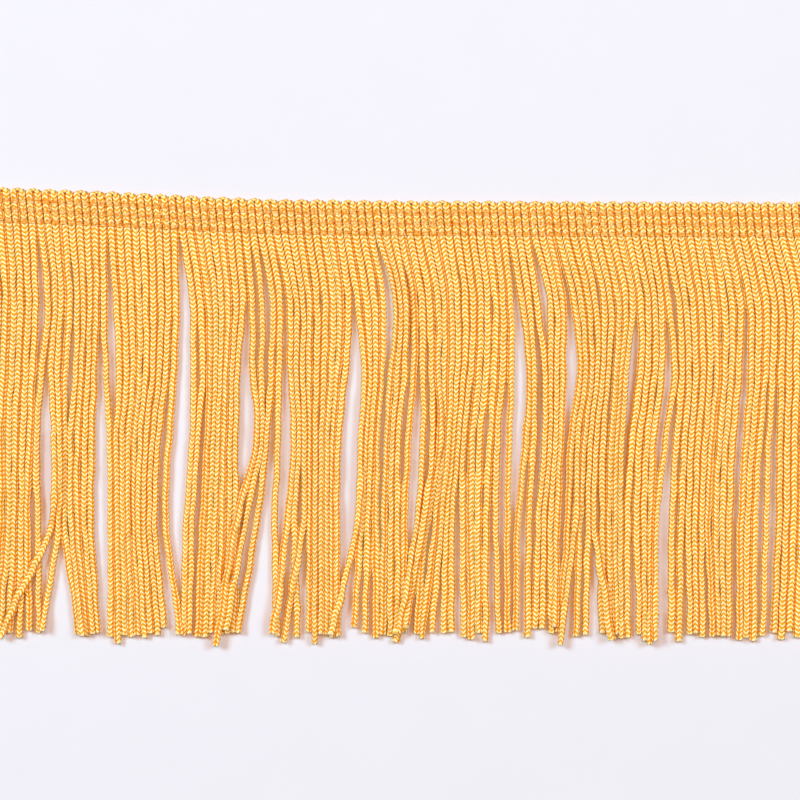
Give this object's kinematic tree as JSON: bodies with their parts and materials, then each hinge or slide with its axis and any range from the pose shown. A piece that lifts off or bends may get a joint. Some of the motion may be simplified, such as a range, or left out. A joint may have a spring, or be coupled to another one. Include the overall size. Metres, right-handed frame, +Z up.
{
  "type": "chainette fringe trim",
  "caption": "Cut length of chainette fringe trim lying flat: a narrow crocheted heading with looped top edge, and a row of hanging knitted cords cut level at the bottom.",
  "frame": {"origin": "bottom centre of the trim's bounding box, on the surface that the trim lies on", "axes": "+X along the trim from left to right, +Y from the cut ends of the cords up to the heading's looped edge, +Z up from the surface"},
  "size_m": [0.2428, 0.1294, 0.0039],
  "materials": {
    "heading_thread": "satin crocheted rayon thread",
    "chainette_cord": "lustrous knitted rayon cord"
  },
  "bodies": {
    "root": {"heading": "heading_thread", "fringe": "chainette_cord"}
  },
  "joints": []
}
